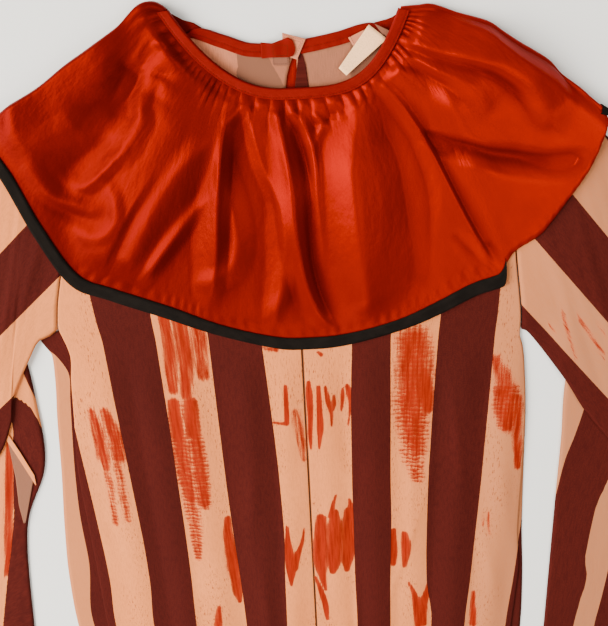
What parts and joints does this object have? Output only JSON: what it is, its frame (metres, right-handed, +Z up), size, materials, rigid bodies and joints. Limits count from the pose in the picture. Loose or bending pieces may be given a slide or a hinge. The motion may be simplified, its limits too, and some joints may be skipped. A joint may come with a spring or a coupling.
{
  "type": "clown costume",
  "caption": "Striped one-piece clown suit lying flat on its back, with a gathered satin ruffle collar, black trim, bound neck and long sleeves.",
  "frame": {"origin": "bottom centre of the bounding box, on the surface the suit lies on", "axes": "+Z up out of the suit's front, +Y from the hems to the neck, +X to the viewer's right"},
  "size_m": [0.9518, 1.3402, 0.0316],
  "materials": {
    "striped_cloth": "matt striped polyester",
    "satin": "glossy satin",
    "binding": "matt woven binding",
    "trim": "matt black tape",
    "tape": "hook-and-loop tape",
    "label": "smooth label tape"
  },
  "bodies": {
    "root": {"front_left": "striped_cloth", "front_right": "striped_cloth", "back_left": "striped_cloth", "back_right": "striped_cloth", "sleeve_left": "striped_cloth", "sleeve_right": "striped_cloth", "ruffle": "satin", "ruffle_trim": "trim", "binding_front": "binding", "binding_back_left": "binding", "binding_back_right": "binding", "tape_left": "tape", "tape_right": "tape", "closure_tab": "binding", "care_label": "label"}
  },
  "joints": []
}
